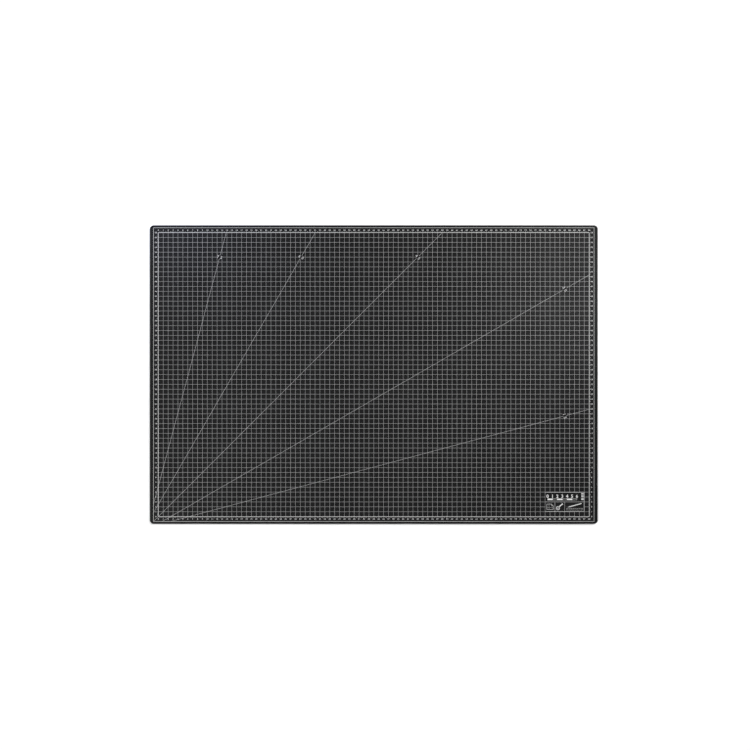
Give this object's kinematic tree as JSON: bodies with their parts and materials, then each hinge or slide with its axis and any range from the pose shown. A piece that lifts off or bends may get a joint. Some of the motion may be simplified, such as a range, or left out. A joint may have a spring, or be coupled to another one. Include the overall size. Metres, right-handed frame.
{
  "type": "self healing mat",
  "caption": "Large flat self-healing cutting mat of laminated black plies with a printed centimetre grid, ruler band, angle lines and legend.",
  "frame": {"origin": "centre of the underside, on the surface the mat lies on", "axes": "+X along the long side, to the right of the print; +Y along the short side, to the top of the print; +Z out of the printed working face"},
  "size_m": [0.915, 0.61, 0.003],
  "materials": {
    "healing_pvc": "matte",
    "inner_pvc": "matte",
    "core_pvc": "matte",
    "white_ink": "satin"
  },
  "bodies": {
    "root": {"bottom_healing_layer": "healing_pvc", "lower_inner_layer": "inner_pvc", "rigid_core_layer": "core_pvc", "upper_inner_layer": "inner_pvc", "top_healing_layer": "healing_pvc", "grid_print": "white_ink", "scale_print": "white_ink", "frame_line_print": "white_ink", "angle_line_print": "white_ink", "legend_print": "white_ink"}
  },
  "joints": []
}
